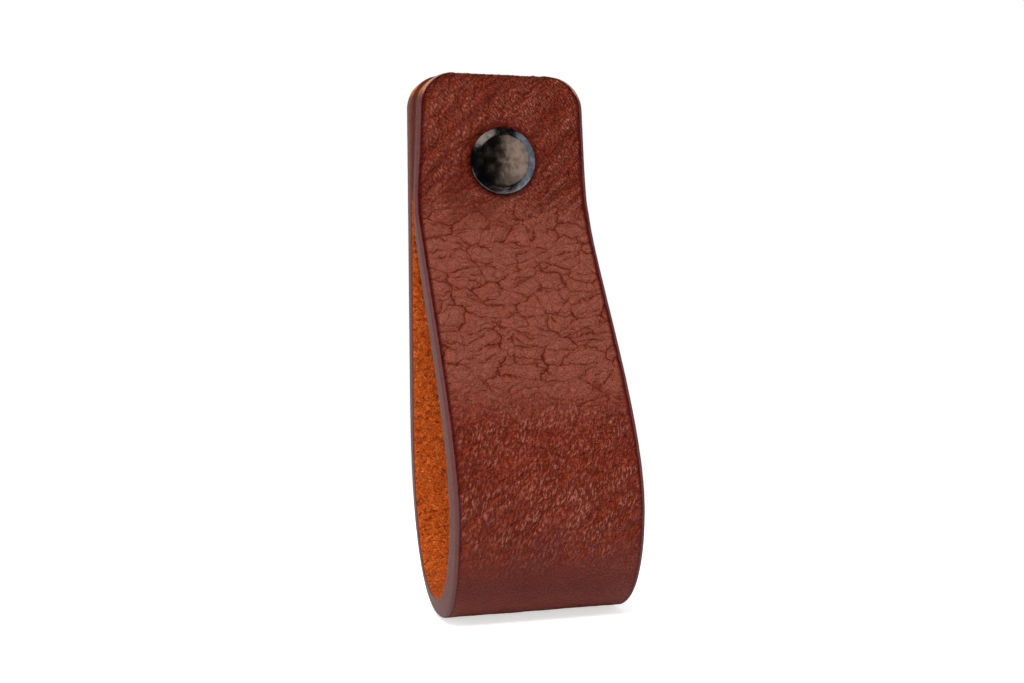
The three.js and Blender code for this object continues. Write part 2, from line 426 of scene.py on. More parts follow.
def row_distances(total):
    """Rows of the mesh along the strip, close together round the cut corners."""
    corner = CORNER_mm * (1 - np.cos(np.linspace(0, math.pi / 2, CORNER_ROWS)))
    middle_count = int(round((total - 2 * CORNER_mm) / ROW_STEP_mm))
    middle = np.linspace(CORNER_mm, total - CORNER_mm, middle_count + 1)
    return np.concatenate([corner[:-1], middle, (total - corner[:-1])[::-1]])


def half_widths(distances, total):
    taper = TAPER_mm * np.clip(1 - distances / TAPER_LENGTH_mm, 0, 1)
    into = np.clip(CORNER_mm - np.minimum(distances, total - distances), 0, CORNER_mm)
    return WIDTH_mm / 2 - taper - (CORNER_mm - np.sqrt(CORNER_mm ** 2 - into ** 2))


def side_outline():
    """Round the side from the grain's edge to the flesh's: (inset from the side, depth below the grain)."""
    outline = []
    for i in range(SIDE_ROUND_STEPS + 1):
        angle = i / SIDE_ROUND_STEPS * math.pi / 2
        outline.append((EDGE_ROUND_mm * (1 - math.sin(angle)), EDGE_ROUND_mm * (1 - math.cos(angle))))
    flat_steps = SIDE_COLUMNS - SIDE_ROUND_STEPS - 1
    low = THICK_mm - FLESH_BREAK_mm
    for i in range(1, flat_steps + 1):
        outline.append((0, EDGE_ROUND_mm + (low - EDGE_ROUND_mm) * i / flat_steps))
    outline.append((FLESH_BREAK_mm, THICK_mm))
    return outline


def point_attribute(mesh, name, kind, field, values):
    attribute = mesh.attributes.new(name, kind, "POINT")
    attribute.data.foreach_set(field, values.astype(np.float32).ravel())


class StrapMesh:
    """Grid of the folded strip, with both punched holes and the cut ends."""

    def __init__(self):
        self.even, self.y, self.z, self.heading, self.bend = folded_line()
        self.total = self.even[-1]
        self.rows = row_distances(self.total)
        self.side = side_outline()
        self.ring = self.ring_layout()
        self.block = []
        self.faces = []
        self.kinds = []
        self.build()

    def ring_layout(self):
        """(share across from -1 to 1, inset, depth) of each column: grain, right side, flesh, left side."""
        inset, depth = self.side[0]
        grain = [(share, inset, depth) for share in np.linspace(-1, 1, FACE_COLUMNS + 1)]
        right = [(1, i, d) for i, d in self.side[1:-1]]
        inset, depth = self.side[-1]
        flesh = [(share, inset, depth) for share in np.linspace(1, -1, FACE_COLUMNS + 1)]
        left = [(-1, i, d) for i, d in self.side[1:-1]][::-1]
        return np.array(grain + right + flesh + left)

    def place(self, across, distance, depth):
        """Points of the unbent block, brought to the folded strip."""
        y = np.interp(distance, self.even, self.y)
        z = np.interp(distance, self.even, self.z)
        heading = np.interp(distance, self.even, self.heading)
        out = THICK_mm / 2 - depth
        return np.stack([across, y - np.cos(heading) * out, z - np.sin(heading) * out], -1)

    def build(self):
        count, width = len(self.rows), len(self.ring)
        half = half_widths(self.rows, self.total)
        bend = np.interp(self.rows, self.even, self.bend)
        share, inset, depth = self.ring.T
        out = THICK_mm / 2 - depth
        splay = SPLAY_mm2 * bend[:, None] * (out / (THICK_mm / 2))[None, :]
        across = share[None, :] * (half[:, None] - inset[None, :] - splay)
        along = np.repeat(self.rows[:, None], width, 1)
        deep = np.repeat(depth[None, :], count, 0)
        removed, loops = self.open_holes(across, along)
        self.block = list(np.stack([across, along, deep], -1).reshape(-1, 3))
        index = np.arange(count * width).reshape(count, width)
        sides = [EDGE] * SIDE_COLUMNS
        kinds = [GRAIN] * FACE_COLUMNS + sides + [FLESH] * FACE_COLUMNS + sides
        for i in range(count - 1):
            for j in range(width):
                if (i, j) in removed:
                    continue
                k = (j + 1) % width
                self.faces.append((index[i, j], index[i + 1, j], index[i + 1, k], index[i, k]))
                self.kinds.append(kinds[j])
        self.add_caps(index)
        for grain_loop, flesh_loop in loops:
            self.add_hole_wall([index[spot] for spot in grain_loop], [index[spot] for spot in flesh_loop])

    def open_holes(self, across, along):
        """Takes out a block of cells at each punched hole and rounds what is left round it."""
        removed = set()
        loops = []
        for centre in (RISE_mm, self.total - RISE_mm):
            rows = np.where(np.abs(self.rows - centre) <= HOLE_BLOCK_mm)[0]
            pair = []
            for start in (0, FLESH_START):
                columns = np.arange(start, start + FACE_COLUMNS + 1)
                inside = columns[np.abs(across[rows[0], columns]) <= HOLE_BLOCK_mm]
                left, right = (inside[-1], inside[0]) if start else (inside[0], inside[-1])
                pair.append(self.take_out(removed, rows[0], rows[-1], left, right))
                self.round_off(across, along, columns, centre)
            # the loops themselves lie exactly on the hole
            for i, j in pair[0] + pair[1]:
                run = along[i, j] - centre
                stretch = HOLE_RADIUS_mm / math.hypot(across[i, j], run)
                across[i, j] *= stretch
                along[i, j] = run * stretch + centre
            loops.append(pair)
        return removed, loops

    @staticmethod
    def take_out(removed, first, last, left, right):
        """Marks a block of cells as removed and gives the loop of points round it.

        The flesh's columns run from right to left, and both loops run the same way round."""
        step = 1 if right > left else -1
        for i in range(first, last):
            for j in range(min(left, right), max(left, right)):
                removed.add((i, j))
        loop = [(first, j) for j in range(left, right, step)]
        loop += [(i, right) for i in range(first, last)]
        loop += [(last, j) for j in range(right, left, -step)]
        loop += [(i, left) for i in range(last, first, -1)]
        return loop

    @staticmethod
    def round_off(across, along, columns, centre):
        """Moves the points near a hole from squares round the block to circles round the hole."""
        x = across[:, columns]
        run = along[:, columns] - centre
        square = np.maximum(np.abs(x), np.abs(run))
        radius = np.hypot(x, run) + 1e-9
        from_block = square - HOLE_BLOCK_mm * HOLE_BLOCK_SHARE
        share = np.clip(from_block / (HOLE_REACH_mm - HOLE_BLOCK_mm), 0, 1)
        share = share * share * (3 - 2 * share)
        circle = HOLE_RADIUS_mm + from_block * HOLE_SPREAD
        wanted = circle + (radius - circle) * share
        factor = np.where(square < HOLE_REACH_mm, wanted / radius, 1)
        across[:, columns] = x * factor
        along[:, columns] = run * factor + centre

    def add_between(self, a, b, share):
        """Adds a point of the block between two others and gives its number."""
        self.block.append(self.block[a] * (1 - share) + self.block[b] * share)
        return len(self.block) - 1

    def add_hole_wall(self, grain, flesh):
        previous = grain
        for step in range(1, HOLE_WALL_STEPS + 1):
            if step == HOLE_WALL_STEPS:
                current = flesh
            else:
                current = [self.add_between(a, b, step / HOLE_WALL_STEPS) for a, b in zip(grain, flesh)]
            for i in range(len(grain)):
                k = (i + 1) % len(grain)
                self.faces.append((previous[i], previous[k], current[k], current[i]))
                self.kinds.append(EDGE)
            previous = current

    def add_caps(self, index):
        """Cut faces of both ends, as a grid across the width and through the thickness."""
        width = index.shape[1]
        for row, flip in ((0, False), (index.shape[0] - 1, True)):
            grid = np.zeros((SIDE_COLUMNS + 1, FACE_COLUMNS + 1), int)
            grid[0] = index[row, : FACE_COLUMNS + 1]
            grid[-1] = index[row, FLESH_START: FLESH_START + FACE_COLUMNS + 1][::-1]
            for k in range(1, SIDE_COLUMNS):
                right = index[row, FACE_COLUMNS + k]
                left = index[row, (width - k) % width]
                grid[k, -1] = right
                grid[k, 0] = left
                for j in range(1, FACE_COLUMNS):
                    grid[k, j] = self.add_between(left, right, j / FACE_COLUMNS)
            for k in range(SIDE_COLUMNS):
                for j in range(FACE_COLUMNS):
                    face = (grid[k, j], grid[k, j + 1], grid[k + 1, j + 1], grid[k + 1, j])
                    self.faces.append(face[::-1] if flip else face)
                    self.kinds.append(EDGE)

    def to_object(self, name):
        block = np.array(self.block)
        block[:, 1] = np.clip(block[:, 1], 0, self.total)
        x, along, depth = block.T
        points = self.place(x, along, depth) * MM
        faces = [tuple(int(corner) for corner in face) for face in self.faces]
        mesh = new_mesh(name, points.tolist(), faces)
        rim = half_widths(along, self.total) - np.abs(x)
        point_attribute(mesh, "block", "FLOAT_VECTOR", "vector", block)
        point_attribute(mesh, "rim", "FLOAT", "value", rim)
        point_attribute(mesh, "from_end", "FLOAT", "value", np.minimum(along, self.total - along))
        mesh.polygons.foreach_set("material_index", np.array(self.kinds, np.int32))
        corner_vertex = np.zeros(len(mesh.loops), np.int32)
        mesh.loops.foreach_get("vertex_index", corner_vertex)
        uv = mesh.uv_layers.new(name="UVMap")
        across_uv = (x + WIDTH_mm) / self.total + (depth > THICK_mm / 2) * FLESH_UV_SHIFT
        flat = np.stack([across_uv, along / self.total], -1)
        uv.data.foreach_set("uv", flat[corner_vertex].astype(np.float32).ravel())
        mesh.validate()
        mesh.update()
        return add_object(name, mesh)


def grain_relief(nodes, block):
    """Creases and pebbles of the grain, smooth under the head and pushed up round it."""
    x, along, depth = nodes.split(block)
    flat = nodes.combine(x, along)
    height = nodes.plus(
        nodes.times(valleys(nodes, crease_fields(nodes, block)), -VALLEY_RELIEF_mm),
        nodes.times(nodes.ripple(flat, 0.28, 2, 0.5), SWELL_RELIEF_mm),
        nodes.times(nodes.ripple(flat, 1.3, 2, 0.6), PEBBLE_RELIEF_mm),
    )
    radius = from_fastener(nodes, x, along)
    front_side = nodes.fade(along, *FRONT_SIDE_FADES_mm)
    under_head = nodes.times(nodes.fade(radius, *PRESSED_mm), front_side)
    ring = nodes.window(radius, *PRESSED_mm, *PILLOW_FADES_mm)
    # the leaf that lies on the door is pressed flat
    on_door = nodes.ramp(along, *DOOR_BEGINS_mm, 1, DOOR_RELIEF_SHARE)
    creased = nodes.times(height, nodes.minus(1, under_head), on_door)
    pillow = nodes.times(ring, front_side, PILLOW_mm)
    return nodes.times(nodes.fade(depth, 0, 0.3), nodes.plus(creased, pillow))


def flesh_relief(nodes, block):
    """Nap of the suede, pressed down where the leaves are clamped."""
    _, along, depth = nodes.split(block)
    nap = nodes.ripple(block, 1.6, 4, 0.7)
    clamped = nodes.most(nodes.fade(along, *FRONT_CLAMP_FADES_mm), nodes.ramp(along, *BACK_CLAMP_BEGINS_mm))
    height = nodes.plus(nodes.times(nodes.minus(1, clamped), NAP_RELIEF_mm), CLAMPED_NAP_mm)
    return nodes.times(nodes.ramp(depth, THICK_mm - 0.3, THICK_mm), nap, height)


def side_relief(nodes, block):
    """Unevenness of the painted sides."""
    depth = nodes.split(block)[2]
    on_side = nodes.window(depth, 0.1, 0.6, THICK_mm - 0.3, THICK_mm)
    return nodes.times(on_side, nodes.ripple(block, 1.1, 3, 0.6), SIDE_RELIEF_mm)


def end_relief(nodes, block):
    """Roughness of the bare cut ends."""
    end = nodes.add("GeometryNodeInputNamedAttribute", {"Name": "from_end"}, data_type="FLOAT").outputs[0]
    return nodes.times(nodes.fade(end, 0, 0.3), nodes.ripple(block, 1.9, 2, 0.6, 0.42), FRAY_mm)


def relief_tree():
    """Geometry nodes that press the relief into the strap's mesh."""
    tree = bpy.data.node_groups.new("strap_relief", "GeometryNodeTree")
    for side in ("INPUT", "OUTPUT"):
        tree.interface.new_socket("Geometry", in_out=side, socket_type="NodeSocketGeometry")
    nodes = Nodes(tree)
    start = nodes.add("NodeGroupInput")
    named = nodes.add("GeometryNodeInputNamedAttribute", {"Name": "block"}, data_type="FLOAT_VECTOR")
    block = named.outputs[0]
    parts = (grain_relief(nodes, block), flesh_relief(nodes, block), side_relief(nodes, block),
             end_relief(nodes, block))
    normal = nodes.add("GeometryNodeInputNormal").outputs[0]
    offset = nodes.scale(normal, nodes.times(nodes.plus(*parts), MM))
    moved = nodes.add("GeometryNodeSetPosition", {"Geometry": start.outputs[0], "Offset": offset})
    nodes.add("NodeGroupOutput", {0: moved.outputs[0]})
    return tree


def make_strap():
    piece = StrapMesh().to_object("strap")
    for material in (grain_leather(), cut_edge(), flesh_suede()):
        piece.data.materials.append(material)
    modifier = piece.modifiers.new("relief", "NODES")
    modifier.node_group = relief_tree()
    apply_modifiers(piece)
    smooth_to(piece, 50)
    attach(piece, "root")
    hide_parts("leather_strap")


# Materials

GRAIN_DEEP = (0.122, 0.0125, 0.0045, 1)
GRAIN_WARM = (0.155, 0.019, 0.0075, 1)
# painted sheen
GRAIN_SHEEN = (0.3, 0.082, 0.052, 1)
GRAIN_SHADE = (0.085, 0.006, 0.002, 1)
# painted glints
GRAIN_GLINT = (0.43, 0.15, 0.098, 1)
# painted shade in small hollows
GRAIN_PIT_SHADE = (0.1, 0.004, 0.001, 1)
# painted light in the hollows beside the creases
GRAIN_LIT_VALLEY = (0.232, 0.029, 0.007, 1)
# painted shade in the creases and round the head, also used for the dark line along the sides
GRAIN_CREASE_SHADE = (0.076, 0.0036, 0.001, 1)
PAINT_DEEP = (0.08, 0.0215, 0.015, 1)
PAINT_PALE = (0.122, 0.036, 0.026, 1)
# painted highlight
PAINT_RIM_HIGHLIGHT = (0.088, 0.031, 0.034, 1)
RAW_DARK = (0.11, 0.02, 0.005, 1)
RAW_BASE = (0.34, 0.07, 0.014, 1)
RAW_PALE = (0.62, 0.22, 0.07, 1)
RAW_SKIN = (0.3, 0.17, 0.14, 1)
FLESH_DARK = (0.105, 0.009, 0.001, 1)
FLESH_BASE = (0.43, 0.06, 0.0045, 1)
FLESH_PALE = (0.8, 0.195, 0.035, 1)
FLESH_SHEEN = (1, 0.62, 0.38, 1)
NICKEL_DARK = (0.14, 0.13, 0.125, 1)
NICKEL_PALE = (0.31, 0.29, 0.275, 1)
ZINC_DARK = (0.5, 0.51, 0.53, 1)
ZINC_PALE = (0.66, 0.66, 0.66, 1)


def empty_material(name):
    material = bpy.data.materials.new(name)
    material.use_nodes = True
    material.node_tree.nodes.clear()
    return material, Nodes(material.node_tree)


def new_material(name):
    material, nodes = empty_material(name)
    shader = nodes.add("ShaderNodeBsdfPrincipled")
    nodes.add("ShaderNodeOutputMaterial", {"Surface": shader.outputs[0]})
    return material, nodes, shader


def bump(nodes, height, distance_mm, strength=1):
    inputs = {"Height": height, "Distance": distance_mm * MM, "Strength": strength}
    return nodes.add("ShaderNodeBump", inputs).outputs[0]


def grain_marks(nodes, flat, crown):
    """Fine grain, its light specks, painted as glints, and its small dark hollows, painted as shade, which
    lie in other directions in each zone.
    """
    along = nodes.split(flat)[1]
    top, middle, belly = grain_zones(nodes, along)
    turn = nodes.window(along, *TURN_mm)
    back_slant = slanted_noise(nodes, flat, degrees=57, along=1.9, across=4.8, seed=3.1)
    fore_slant = slanted_noise(nodes, flat, degrees=-68, along=1.8, across=4.8, seed=7.7)
    low_bands = slanted_noise(nodes, flat, degrees=-36, along=0.14, across=0.55, seed=5.3)
    fine = nodes.noise(flat, 3.4, 3, 0.75)

    top_share = nodes.times(top, nodes.ramp(top_bands(nodes, flat), 0.42, 0.56, 0.2, 0.78))
    belly_share = nodes.times(belly, nodes.ramp(low_bands, 0.42, 0.56, 0.25, 0.8))
    fine_share = nodes.plus(nodes.times(middle, 0.5), 0.2)
    slanted = nodes.most(
        nodes.times(nodes.ramp(back_slant, 0.51, 0.62), top_share),
        nodes.times(nodes.ramp(fore_slant, 0.5, 0.62), belly_share),
    )
    glint_flecks = nodes.most(slanted, nodes.times(nodes.ramp(fine, 0.5, 0.62), fine_share))
    fine_pits = nodes.plus(nodes.times(middle, 0.7), nodes.times(turn, 0.4))
    shaded_pits = nodes.plus(
        nodes.times(nodes.fade(back_slant, 0.34, 0.49), top),
        nodes.times(nodes.fade(fore_slant, 0.34, 0.49), belly),
        nodes.times(nodes.fade(fine, 0.34, 0.47), fine_pits, 0.8),
    )
    return fine, nodes.times(glint_flecks, crown), shaded_pits


def top_bands(nodes, flat):
    """Broad slanting bands of light and dark over the top."""
    return slanted_noise(nodes, flat, degrees=-45, along=0.14, across=0.6, seed=1.3)


def grain_ground(nodes, flat):
    """Colour of the grain before its creases and marks, with painted sheen and painted shade by zone."""
    along = nodes.split(flat)[1]
    top, middle, _ = grain_zones(nodes, along)
    cloud = nodes.noise(flat, 0.12, 2, 0.5)
    base = nodes.mix(nodes.ramp(cloud, 0.35, 0.65), GRAIN_DEEP, GRAIN_WARM)
    # painted shade: darker over the lower belly and the top of the turn
    shaded_low = nodes.mix(nodes.times(nodes.window(along, *SHADED_LOW_mm), 0.45), base, GRAIN_SHADE)
    lowest = nodes.window(along, *LOWEST_mm)
    # painted sheen: paler on the middle, which slopes up towards the key light, on the lowest turn, which
    # mirrors the floor, and a little on the top
    sheen_share = nodes.plus(nodes.times(middle, 0.8), nodes.times(lowest, 0.36), nodes.times(top, 0.12))
    pale = nodes.mix(sheen_share, shaded_low, GRAIN_SHEEN)
    shade = nodes.times(nodes.fade(top_bands(nodes, flat), 0.42, 0.56), top, 0.7)
    return nodes.mix(shade, pale, GRAIN_SHADE)


def grain_leather():
    material, nodes, shader = new_material("strap_grain")
    block = nodes.attribute("block", "Vector")
    x, along, _ = nodes.split(block)
    flat = nodes.combine(x, along)
    networks = crease_fields(nodes, block)
    line = drawn_lines(nodes, networks)
    valley = valleys(nodes, networks)
    crown = nodes.minus(1, nodes.times(valley, 0.75))
    fine, glint_flecks, shaded_pits = grain_marks(nodes, flat, crown)
    pores = nodes.cell_edges(nodes.combine(nodes.times(x, 1.5), nodes.times(along, 1.9)))

    # painted light: the hollows beside the creases, saturated orange-red where their lower lips are lit and
    # no sheen lies
    valley_lit = nodes.mix(nodes.times(valley, 0.62), grain_ground(nodes, flat), GRAIN_LIT_VALLEY)
    # painted glints: light specks on the crowns of the grain's cells
    lit = nodes.mix(nodes.times(glint_flecks, 0.58), valley_lit, GRAIN_GLINT)
    # painted shade in the small hollows of the fine grain
    pit_shaded = nodes.mix(nodes.times(shaded_pits, 0.62), lit, GRAIN_PIT_SHADE)
    # painted shade along the fine lines at the bottom of the creases
    creased = nodes.mix(nodes.times(line, 0.9), pit_shaded, GRAIN_CREASE_SHADE)
    # painted shadow: darker in the dish round the head; a dark line also runs along the sides
    from_head = nodes.minus(from_fastener(nodes, x, along), HEAD_RADIUS_mm)
    pressed = nodes.ramp(from_head, 0.1, 1, 0.8, 0)
    beside_edge = nodes.window(nodes.attribute("rim"), 0.1, 0.4, 0.6, 1.1)
    edge_lined_and_head_shadowed = nodes.mix(nodes.most(beside_edge, pressed), creased, GRAIN_CREASE_SHADE)

    height = nodes.plus(
        nodes.times(line, -1.3),
        nodes.times(valley, -1.15),
        nodes.times(glint_flecks, 0.5),
        nodes.times(shaded_pits, -0.5),
        nodes.times(nodes.ramp(pores, 0, 0.2), 0.3),
        nodes.times(fine, 0.35),
    )
    nodes.fill(shader, {
        "Base Color": edge_lined_and_head_shadowed,
        "Normal": bump(nodes, height, 0.32),
        "Roughness": nodes.ramp(fine, 0.3, 0.7, 0.42, 0.54),
        "Specular IOR Level": 0.18,
    })
    return material


def fibre_colour(nodes, block, dark, base, light):
    """Tangled fibres: thin light and dark strands over a mottled ground."""
    curl = nodes.noise_node(block, 1.3, 2, 0.5).outputs["Color"]
    x, along, depth = nodes.split(nodes.shift(block, nodes.scale(curl, 2)))
    flat_strand = nodes.combine(nodes.times(x, 2.6), nodes.times(along, 9), depth)
    steep_strand = nodes.combine(nodes.times(x, 9), nodes.times(along, 2.6), depth)
    level = nodes.noise(flat_strand, 1, 3, 0.65)
    steep = nodes.noise(steep_strand, 1, 3, 0.65)
    mottle = nodes.noise(block, 1.7, 5, 0.75)
    ground = nodes.mix(nodes.ramp(mottle, 0.37, 0.53), dark, base)
    first = nodes.mix(nodes.times(nodes.ramp(level, 0.52, 0.62), 0.88), ground, light)
    second = nodes.mix(nodes.times(nodes.ramp(steep, 0.53, 0.65), 0.65), first, light)
    third = nodes.mix(nodes.times(nodes.fade(steep, 0.3, 0.44), 0.7), second, dark)
    return third, nodes.plus(level, steep, nodes.times(mottle, 0.8))


def flesh_suede():
    material, nodes, shader = new_material("strap_flesh")
    block = nodes.attribute("block", "Vector")
    colour, height = fibre_colour(nodes, block, FLESH_DARK, FLESH_BASE, FLESH_PALE)
    # edge paint runs a little way in on the leaf that lies against the door
    back_leaf = nodes.ramp(nodes.split(block)[1], *OVERRUN_BEGINS_mm)
    overrun = nodes.times(nodes.fade(nodes.attribute("rim"), 0.9, 1.3), back_leaf)
    nodes.fill(shader, {
        "Base Color": nodes.mix(overrun, colour, PAINT_PALE),
        "Normal": bump(nodes, height, 0.22),
        "Roughness": 0.95,
        "Specular IOR Level": 0.1,
        "Sheen Weight": 0.03,
        "Sheen Roughness": 0.5,
        "Sheen Tint": FLESH_SHEEN,
    })
    return material


def cut_edge():
    """Painted sides, which give way to bare leather round the cut corners and in the holes, with a painted
    highlight along the rounded edge next to the grain.
    """
    material, nodes, shader = new_material("strap_edge")
    block = nodes.attribute("block", "Vector")
    depth = nodes.split(block)[2]
    speckle = nodes.noise(block, 2.4, 4, 0.65)
    paint = nodes.mix(nodes.ramp(speckle, 0.38, 0.66), PAINT_DEEP, PAINT_PALE)
    # painted highlight: a purple tint of reflected light on the rounded edge next to the grain
    near_grain = nodes.fade(depth, 0.25, 0.6)
    paint = nodes.mix(nodes.times(near_grain, 0.6), paint, PAINT_RIM_HIGHLIGHT)
    fibres, fibre_height = fibre_colour(nodes, block, RAW_DARK, RAW_BASE, RAW_PALE)
    bare = nodes.mix(nodes.fade(depth, 0.06, 0.2), fibres, RAW_SKIN)
    ragged = nodes.plus(nodes.attribute("from_end"), nodes.times(speckle, 2.4))
    share = nodes.most(nodes.fade(ragged, 3.4, 4.8), nodes.ramp(nodes.attribute("rim"), 1, 2))
    height = nodes.plus(nodes.times(speckle, 0.8), nodes.times(fibre_height, share))
    nodes.fill(shader, {
        "Base Color": nodes.mix(share, paint, bare),
        "Normal": bump(nodes, height, 0.12, 0.8),
        "Roughness": nodes.ramp(share, 0, 1, 0.55, 0.85),
        "Specular IOR Level": 0.25,
    })
    return material


def plated(name, cloud_scale, tones, gloss, dent_mm, speck_share=0):
    """Plated metal with faint clouds in its tone and in its gloss, which goes from smooth to dull."""
    material, nodes, shader = new_material(name)
    place = nodes.add("ShaderNodeTexCoord").outputs["Object"]
    cloud = nodes.noise(place, cloud_scale, 3, 0.6)
    height = cloud
    if speck_share:
        height = nodes.plus(cloud, nodes.times(nodes.noise(place, 4200, 2, 0.6), speck_share))
    nodes.fill(shader, {
        "Base Color": nodes.mix(nodes.ramp(cloud, 0.35, 0.68), *tones),
        "Roughness": nodes.ramp(cloud, 0.35, 0.7, *gloss),
        "Normal": bump(nodes, height, dent_mm, 0.5),
        "Metallic": 1,
    })
    return material


def black_nickel():
    return plated("black_nickel", 900, (NICKEL_DARK, NICKEL_PALE), (0.14, 0.26), 0.045, 0.35)


def zinc_plate():
    return plated("zinc_plate", 700, (ZINC_DARK, ZINC_PALE), (0.24, 0.38), 0.04)


# Turned pieces

def revolve(name, profile, sides, wobble=None):
    """Closed mesh of revolution about the Y axis. profile is (radius, y) in mm, from axis to axis.
    wobble(radius, y, angle) may change a ring's radius, as a thread does."""
    points, rings, faces = [], [], []
    for radius, y in profile:
        ring = range(sides if radius else 1)
        rings.append([len(points) + k for k in ring])
        for k in ring:
            angle = 2 * math.pi * k / sides
            r = (radius if wobble is None else wobble(radius, y, angle)) * MM
            points.append((r * math.cos(angle), y * MM, r * math.sin(angle)))
    for a, b in zip(rings[:-1], rings[1:]):
        for k in range(sides):
            n = (k + 1) % sides
            corners = (a[k % len(a)], a[n % len(a)], b[n % len(b)], b[k % len(b)])
            # a triangle where a ring is a single point on the axis
            faces.append(tuple(dict.fromkeys(corners)))
    mesh = new_mesh(name, points, faces)
    mesh.validate()
    mesh.update()
    return add_object(name, mesh)


def outward(piece):
    """Turns a closed mesh's faces outwards where its volume comes out negative."""
    mesh = piece.data
    mesh.calc_loop_triangles()
    volume = 0
    for triangle in mesh.loop_triangles:
        a, b, c = (mesh.vertices[v].co for v in triangle.vertices)
        volume += a.dot(b.cross(c))
    if volume < 0:
        mesh.flip_normals()


def rounded(profile, radius, steps):
    """A profile whose inner corners are rounded by short quadratic curves."""
    result = [profile[0]]
    for before, corner, after in zip(profile[:-2], profile[1:-1], profile[2:]):
        b, c, a = (np.array(p, float) for p in (before, corner, after))
        cut_b = min(radius, 0.45 * np.linalg.norm(b - c))
        cut_a = min(radius, 0.45 * np.linalg.norm(a - c))
        first = c + (b - c) / np.linalg.norm(b - c) * cut_b
        last = c + (a - c) / np.linalg.norm(a - c) * cut_a
        for i in range(steps + 1):
            t = i / steps
            result.append(tuple((1 - t) ** 2 * first + 2 * (1 - t) * t * c + t ** 2 * last))
    result.append(profile[-1])
    return result


def clamp(value):
    return min(max(value, 0), 1)


HEAD_RIM_mm = 0.45
BEVEL_RISE_mm = 0.5
BEVEL_WIDTH_mm = 1.05
CROWN_mm = 0.3
BARREL_RADIUS_mm = 2.5
BARREL_TIP_mm = 2.7
BARREL_CHAMFER_mm = 0.25
BORE_RADIUS_mm = 2.075
BORE_FLOOR_mm = -3.5
NUT_ROUNDING_mm = 0.16
NUT_SIDES = 128
DOME_STEPS = 24


def make_nut():
    rim_top = SEAT_Y_mm - HEAD_RIM_mm
    bevel_top = rim_top - BEVEL_RISE_mm
    dome_edge = HEAD_RADIUS_mm - BEVEL_WIDTH_mm
    sphere = (dome_edge ** 2 + CROWN_mm ** 2) / (2 * CROWN_mm)
    dome = []
    for i in range(DOME_STEPS + 1):
        r = dome_edge * i / DOME_STEPS
        dome.append((r, bevel_top - (math.sqrt(sphere ** 2 - r ** 2) - (sphere - CROWN_mm))))
    corners = [
        dome[-3], dome[-1], (HEAD_RADIUS_mm, rim_top), (HEAD_RADIUS_mm, SEAT_Y_mm),
        (BARREL_RADIUS_mm, SEAT_Y_mm), (BARREL_RADIUS_mm, BARREL_TIP_mm - BARREL_CHAMFER_mm),
        (BARREL_RADIUS_mm - BARREL_CHAMFER_mm, BARREL_TIP_mm), (BORE_RADIUS_mm, BARREL_TIP_mm),
        (BORE_RADIUS_mm, BORE_FLOOR_mm), (0, BORE_FLOOR_mm),
    ]
    piece = revolve("nut", dome[:-3] + rounded(corners, NUT_ROUNDING_mm, 5), NUT_SIDES)
    outward(piece)
    finish_metal(piece, black_nickel(), "sleeve_nut")


SCREW_TIP_mm = -2
SCREW_SEAT_mm = 18
SCREW_HEAD_RADIUS_mm = 4
SCREW_HEAD_HEIGHT_mm = 2.7
SCREW_HEAD_SIDE_mm = 1.1
SCREW_HEAD_FLAT_mm = 1.8
SCREW_HEAD_ROUNDING_mm = 0.12
SCREW_SIDES = 72
SHOULDER_STEPS = 14
TIP_CHAMFER_mm = 0.3
TIP_CONE_mm = 0.35
THREAD_PITCH_mm = 0.7
THREAD_CREST_mm = 2
THREAD_ROOT_mm = 1.58
PLAIN_SHANK_mm = 1.2
STEPS_PER_TURN = 9
ROOT_SHARE = 0.12
FLANK_SHARE = 0.72
LEAST_AT_TIP = 0.15
LEAST_AT_HEAD = 0.25


def thread(radius, y, angle):
    """Radius of an M4 thread at a height and angle, run out at its tip and below the head."""
    if radius != THREAD_CREST_mm:
        return radius
    turn = (y / THREAD_PITCH_mm - angle / (2 * math.pi)) % 1
    tooth = clamp((1 - abs(2 * turn - 1) - ROOT_SHARE) / FLANK_SHARE)
    to_head = clamp((SCREW_SEAT_mm - PLAIN_SHANK_mm - y) / THREAD_PITCH_mm)
    to_tip = clamp((y - SCREW_TIP_mm) / THREAD_PITCH_mm)
    tall = (THREAD_CREST_mm - THREAD_ROOT_mm) * (LEAST_AT_TIP + (1 - LEAST_AT_TIP) * to_tip)
    return THREAD_ROOT_mm + tall * tooth * (LEAST_AT_HEAD + (1 - LEAST_AT_HEAD) * to_head)


def make_screw():
    start = SCREW_TIP_mm + TIP_CHAMFER_mm
    steps = int((SCREW_SEAT_mm - start) / (THREAD_PITCH_mm / STEPS_PER_TURN))
    length = SCREW_SEAT_mm - TIP_CHAMFER_mm - start
    shank = [(THREAD_CREST_mm, start + length * i / steps) for i in range(steps + 1)]
    head_top = SCREW_SEAT_mm + SCREW_HEAD_HEIGHT_mm
    side_top = SCREW_SEAT_mm + SCREW_HEAD_SIDE_mm
    across = SCREW_HEAD_RADIUS_mm - SCREW_HEAD_FLAT_mm
    shoulder = []
    for angle in np.linspace(0, math.pi / 2, SHOULDER_STEPS + 1):
        y = side_top + (head_top - side_top) * math.sin(angle)
        shoulder.append((SCREW_HEAD_FLAT_mm + across * math.cos(angle), y))
    seat = [(THREAD_ROOT_mm, SCREW_SEAT_mm), (SCREW_HEAD_RADIUS_mm, SCREW_SEAT_mm)]
    head = rounded(seat + shoulder[:2], SCREW_HEAD_ROUNDING_mm, 4)
    tip = [(0, SCREW_TIP_mm), (THREAD_ROOT_mm - TIP_CONE_mm, SCREW_TIP_mm)]
    profile = [*tip, *shank, *head[:-1], *shoulder[1:], (0, head_top)]
    piece = revolve("screw", profile, SCREW_SIDES, thread)
    outward(piece)
    cut_recess(piece, head_top)
    finish_metal(piece, zinc_plate(), "machine_screw")


RECESS_ARM_mm = 0.55
RECESS_REACH_mm = 2.2
RECESS_DEPTH_mm = 1.6
RECESS_FLOOR_SHARE = 0.45
CUTTER_ABOVE_mm = 0.5


